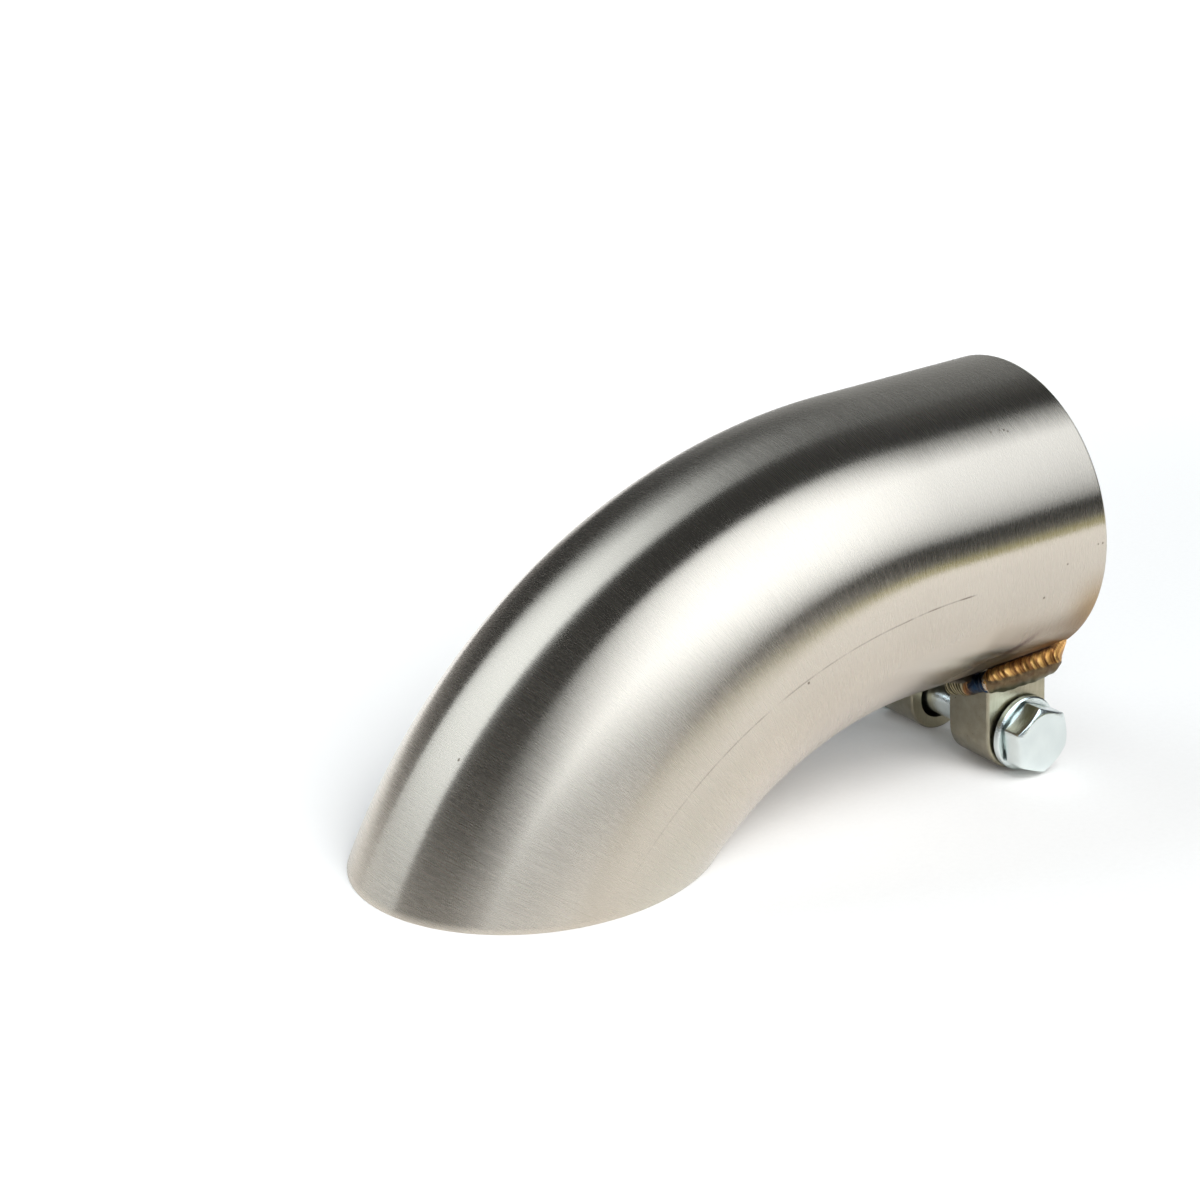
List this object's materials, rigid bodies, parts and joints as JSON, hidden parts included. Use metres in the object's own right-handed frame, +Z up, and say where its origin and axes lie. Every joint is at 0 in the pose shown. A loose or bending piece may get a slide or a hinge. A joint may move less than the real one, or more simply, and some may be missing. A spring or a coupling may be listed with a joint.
{
  "type": "clamp-on exhaust tip",
  "caption": "Turn-down exhaust tip: brushed stainless tube bent downward, outlet cut flat, with welded clamp lugs, bolt and nut that close its slit inlet on a tailpipe.",
  "frame": {"origin": "centre of the inlet's mouth", "axes": "+X out of the inlet, level with the plane of the outlet; +Y along the clamp bolt, from head to nut; +Z up, square to the plane of the outlet"},
  "size_m": [0.1545, 0.065, 0.0828],
  "materials": {
    "brushed_stainless": "fine brushing round the tube",
    "cast_stainless": "dull, fine cast grain",
    "weld_metal": "rippled, straw, bronze and blue heat tint",
    "zinc_plated_steel": "bright bluish zinc"
  },
  "bodies": {
    "root": {"tip_tube": "brushed_stainless", "clamp_lug_near": "cast_stainless", "clamp_lug_far": "cast_stainless", "weld_bead_near": "weld_metal", "weld_bead_far": "weld_metal", "clamp_bolt": "zinc_plated_steel", "head_washer": "zinc_plated_steel", "nut_washer": "zinc_plated_steel", "clamp_nut": "zinc_plated_steel"}
  },
  "joints": []
}
